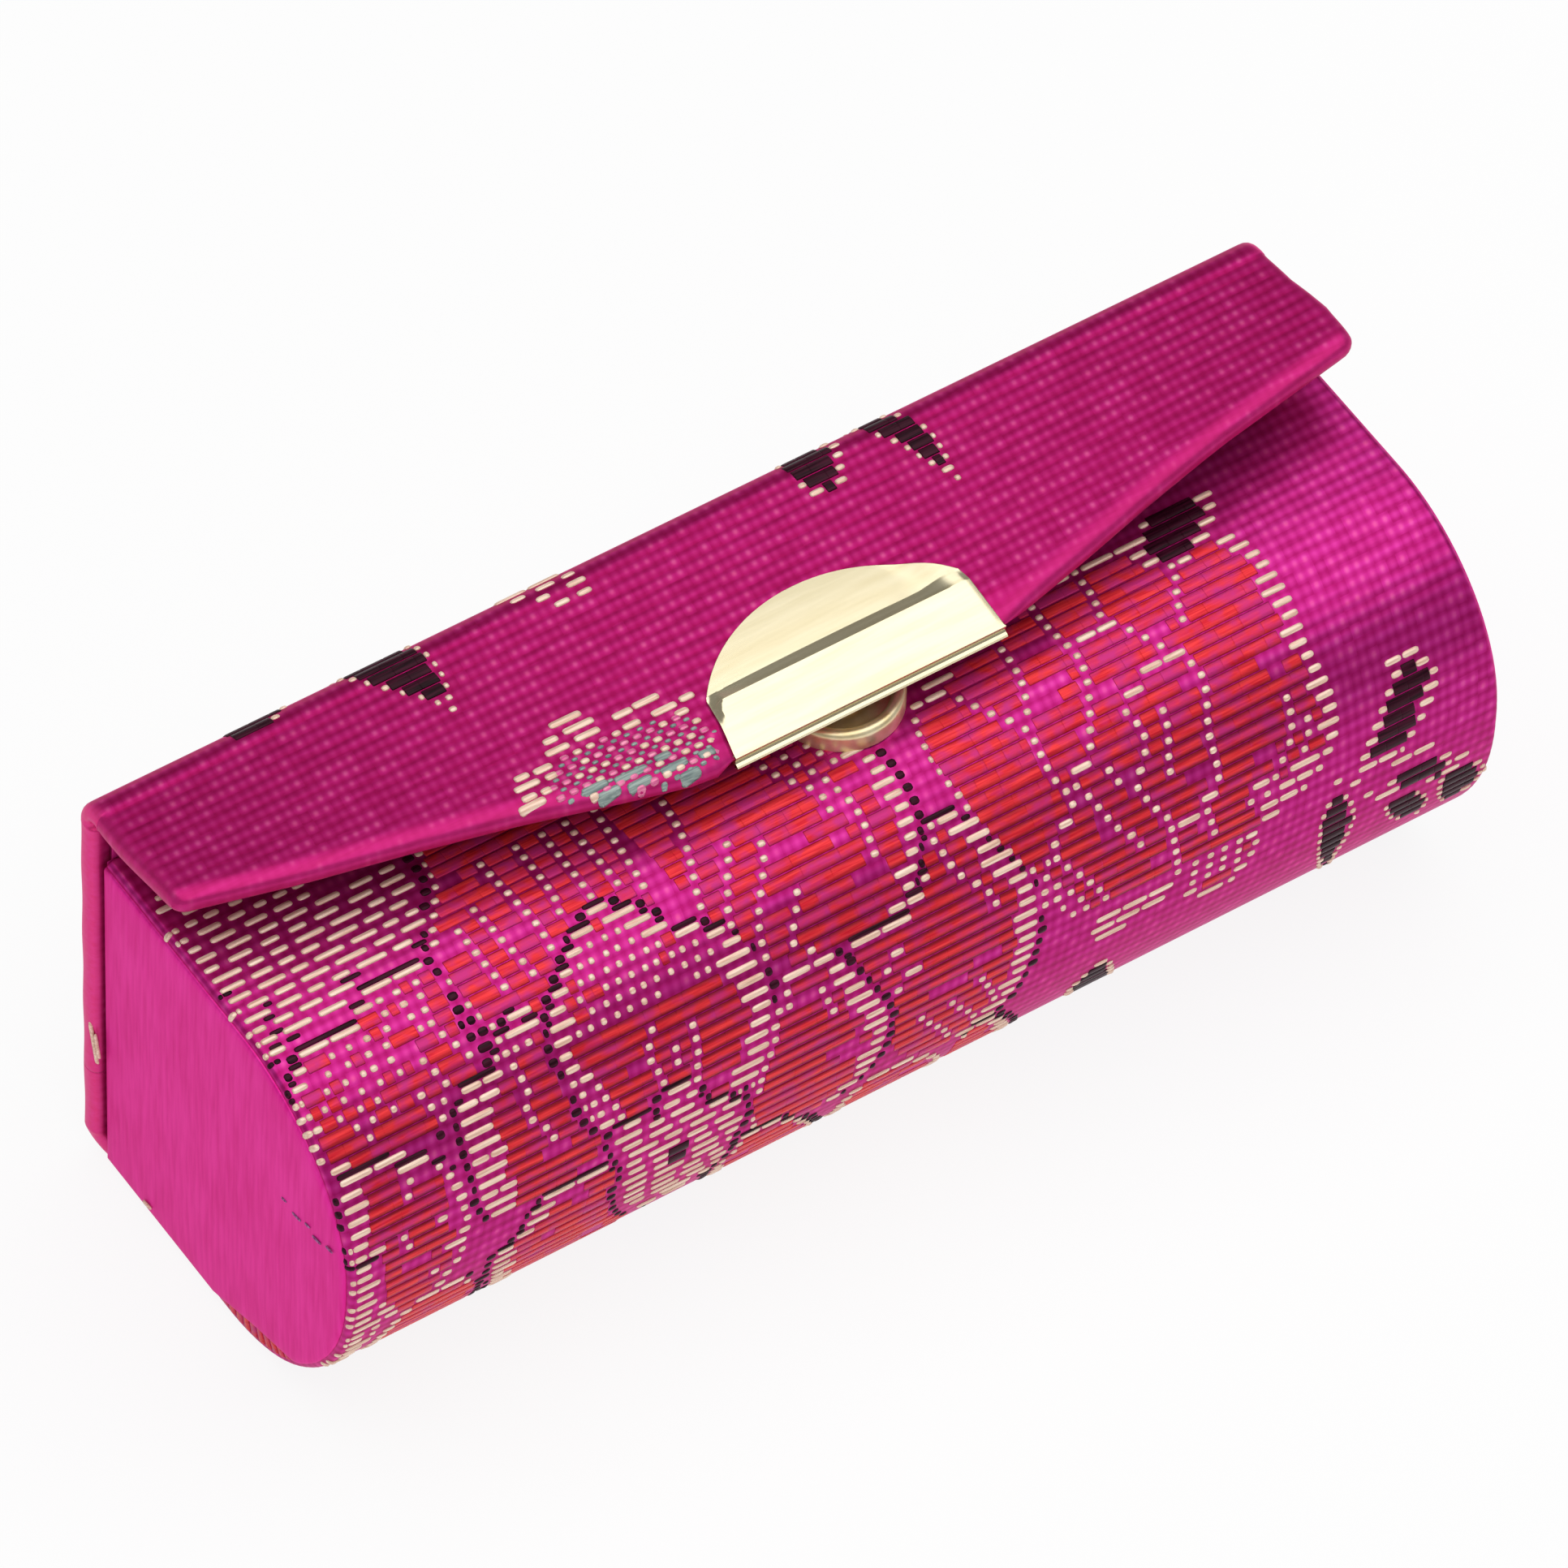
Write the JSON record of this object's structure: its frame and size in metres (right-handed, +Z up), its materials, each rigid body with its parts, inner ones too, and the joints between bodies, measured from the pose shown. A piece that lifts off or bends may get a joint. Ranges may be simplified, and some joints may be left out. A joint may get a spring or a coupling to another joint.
{
  "type": "brocade lipstick case",
  "caption": "Long D-section brocade case with satin ends, a mirrored back lid on a cloth hinge, and a tapered flap that folds over the top and snaps shut with a half-moon clasp.",
  "frame": {"origin": "centre of the box's footprint, on the table", "axes": "+X along the case, -Y towards its front, +Z up"},
  "size_m": [0.0914, 0.0318, 0.0375],
  "materials": {
    "brocade": "woven silk brocade",
    "satin": "satin",
    "lining": "plain satin",
    "card": "grey board",
    "mirror": "silvered glass",
    "tape": "foam tape",
    "clasp_gold": "polished pale gold plate",
    "snap_gold": "gold plate",
    "steel": "plain steel"
  },
  "bodies": {
    "case": {"base_brocade": "brocade", "shell_brocade": "brocade", "hinge_cloth": "brocade", "shell_board": "card", "shell_lining": "lining", "end_board_left": "card", "end_board_right": "card", "end_satin_left": "satin", "end_satin_right": "satin", "end_lining_left": "lining", "end_lining_right": "lining", "snap_socket": "snap_gold", "socket_rivet": "snap_gold", "socket_washer": "steel"},
    "lid": {"lid_brocade": "brocade", "lid_board": "card", "lid_lining": "lining", "mirror_tape": "tape", "mirror_glass": "mirror", "crease_cloth": "brocade"},
    "flap": {"flap_brocade": "brocade", "flap_board": "card", "flap_lining": "lining", "clasp_plate": "clasp_gold", "snap_stud": "snap_gold", "stud_rivet": "steel"}
  },
  "joints": [
    {"name": "lid_hinge", "type": "hinge", "parent": "case", "child": "lid", "pos_m": [0, 0.01345, 0.0025], "axis": [-1, 0, 0], "range_deg": [0, 88], "deforming": ["hinge_cloth"]},
    {"name": "flap_hinge", "type": "hinge", "parent": "lid", "child": "flap", "pos_m": [0, 0.01345, 0.034], "axis": [-1, 0, 0], "range_deg": [0, 88], "deforming": ["crease_cloth"]}
  ]
}
